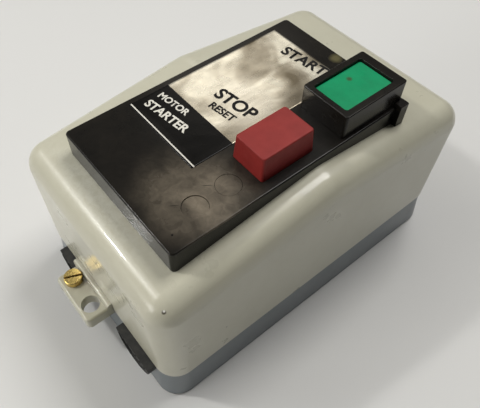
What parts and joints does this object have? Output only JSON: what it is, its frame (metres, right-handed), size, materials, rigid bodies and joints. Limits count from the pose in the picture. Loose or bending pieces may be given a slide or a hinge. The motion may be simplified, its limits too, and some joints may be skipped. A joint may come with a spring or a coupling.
{
  "type": "magnetic motor starter",
  "caption": "Small enclosed direct-on-line magnetic motor starter: hinged gable-topped steel cover, raised START, red STOP/RESET, and the contactor, overload relay and switches inside",
  "frame": {"origin": "centre of the four wall-fixing holes, on the back face that meets the wall", "axes": "+Z out of the wall towards the user, +Y towards the START end (up when it hangs on a wall), +X to the right for a person who faces it; it is stored lying on its back"},
  "size_m": [0.108, 0.1896, 0.1028],
  "materials": {
    "grey_enamel": "gloss enamel, warm grey-beige",
    "base_enamel": "satin enamel, blue-grey",
    "black_rubber": "matte",
    "brass": "satin",
    "black_plastic": "gloss",
    "silver_label": "bright foil with a black block",
    "red_plastic": "matte",
    "green_plastic": "satin",
    "steel": "zinc plated",
    "spring_steel": "bright drawn",
    "core_steel": "laminated",
    "copper": "bare copper",
    "winding": "taped enamelled wire",
    "dark_moulding": "phenolic, satin",
    "cream_moulding": "satin",
    "insulation": "satin",
    "gasket": "matte"
  },
  "bodies": {
    "enclosure": {"base_tray": "base_enamel", "seam_gasket": "gasket", "cable_entry_plugs": "black_rubber", "chassis_plate": "steel", "chassis_screws": "steel", "device_screws": "steel", "earth_terminal": "brass", "contactor_base": "dark_moulding", "contactor_housing": "dark_moulding", "magnet_yoke": "core_steel", "shading_rings": "copper", "coil_bobbin": "cream_moulding", "coil_winding": "winding", "coil_terminals": "brass", "line_terminals": "brass", "load_terminals": "brass", "terminal_screws": "steel", "contactor_return_springs": "spring_steel", "start_switch_bracket": "steel", "start_switch_body": "dark_moulding", "start_switch_screws": "steel", "start_switch_contacts": "brass", "start_switch_spring": "spring_steel", "overload_base": "dark_moulding", "overload_cover": "cream_moulding", "overload_cover_screws": "steel", "overload_terminals": "brass", "link_bars": "copper", "overload_heaters": "spring_steel", "bimetal_strips": "copper", "trip_pin": "steel", "stop_contacts": "brass", "reset_spring": "spring_steel", "control_wire": "insulation"},
    "cover": {"cover_shell": "grey_enamel", "fascia": "black_plastic", "fascia_screws": "steel", "label_plate": "silver_label", "blanking_plugs": "black_plastic", "fascia_catch": "black_plastic", "start_shroud": "black_plastic", "button_guide": "cream_moulding", "guide_screws": "steel", "start_spring": "spring_steel", "stop_spring": "spring_steel"},
    "cover_screw": {"cover_screw": "brass"},
    "start_button": {"start_button": "green_plastic"},
    "stop_button": {"stop_button": "red_plastic"},
    "crosshead": {"crosshead": "cream_moulding", "armature": "core_steel", "armature_pin": "steel", "moving_contacts": "copper", "contact_springs": "spring_steel"},
    "start_plunger": {"start_switch_plunger": "cream_moulding", "start_switch_bridge": "copper"},
    "reset_plunger": {"reset_plunger": "cream_moulding", "stop_bridge": "copper"},
    "trip_bar": {"trip_bar": "cream_moulding"},
    "trip_lever": {"trip_lever": "cream_moulding"},
    "setting_dial": {"setting_dial": "red_plastic"}
  },
  "joints": [
    {"name": "cover_hinge", "type": "hinge", "parent": "enclosure", "child": "cover", "pos_m": [0, 0.0866, 0.0146], "axis": [-1, 0, 0], "range_deg": [0, 75]},
    {"name": "cover_screw_lift", "type": "slide", "parent": "cover", "child": "cover_screw", "axis": [0, 0, 1], "range_m": [0, 0.006]},
    {"name": "start_press", "type": "slide", "parent": "cover", "child": "start_button", "axis": [0, 0, -1], "range_m": [0, 0.0035], "stiffness_N_per_m": 500, "springref_m": -0.003, "deforming": ["start_spring"]},
    {"name": "stop_press", "type": "slide", "parent": "cover", "child": "stop_button", "axis": [0, 0, -1], "range_m": [0, 0.004], "stiffness_N_per_m": 500, "springref_m": -0.003, "deforming": ["stop_spring"]},
    {"name": "start_plunger_slide", "type": "slide", "parent": "enclosure", "child": "start_plunger", "axis": [0, 0, -1], "range_m": [0, 0.0035], "stiffness_N_per_m": 200, "springref_m": -0.003, "deforming": ["start_switch_spring"]},
    {"name": "reset_plunger_slide", "type": "slide", "parent": "enclosure", "child": "reset_plunger", "axis": [0, 0, -1], "range_m": [0, 0.004], "stiffness_N_per_m": 200, "springref_m": -0.003, "deforming": ["reset_spring"]},
    {"name": "contactor_close", "type": "slide", "parent": "enclosure", "child": "crosshead", "axis": [0, 0, -1], "range_m": [0, 0.005], "stiffness_N_per_m": 400, "springref_m": -0.005, "deforming": ["contactor_return_springs"]},
    {"name": "trip_bar_slide", "type": "slide", "parent": "enclosure", "child": "trip_bar", "axis": [1, 0, 0], "range_m": [0, 0.002]},
    {"name": "trip_lever_turn", "type": "hinge", "parent": "enclosure", "child": "trip_lever", "pos_m": [0.019, -0.01675, 0.015], "axis": [0, 1, 0], "range_deg": [0, 20]},
    {"name": "setting_dial_turn", "type": "hinge", "parent": "enclosure", "child": "setting_dial", "pos_m": [0.001, -0.03, 0.05], "axis": [0, 0, 1], "range_deg": [-120, 120]}
  ],
  "couplings": [
    {"joint": "start_plunger_slide", "follows": "start_press", "ratio": 1},
    {"joint": "reset_plunger_slide", "follows": "stop_press", "ratio": 1},
    {"joint": "trip_lever_turn", "follows": "trip_bar_slide", "rad_per_m": 104.7}
  ]
}
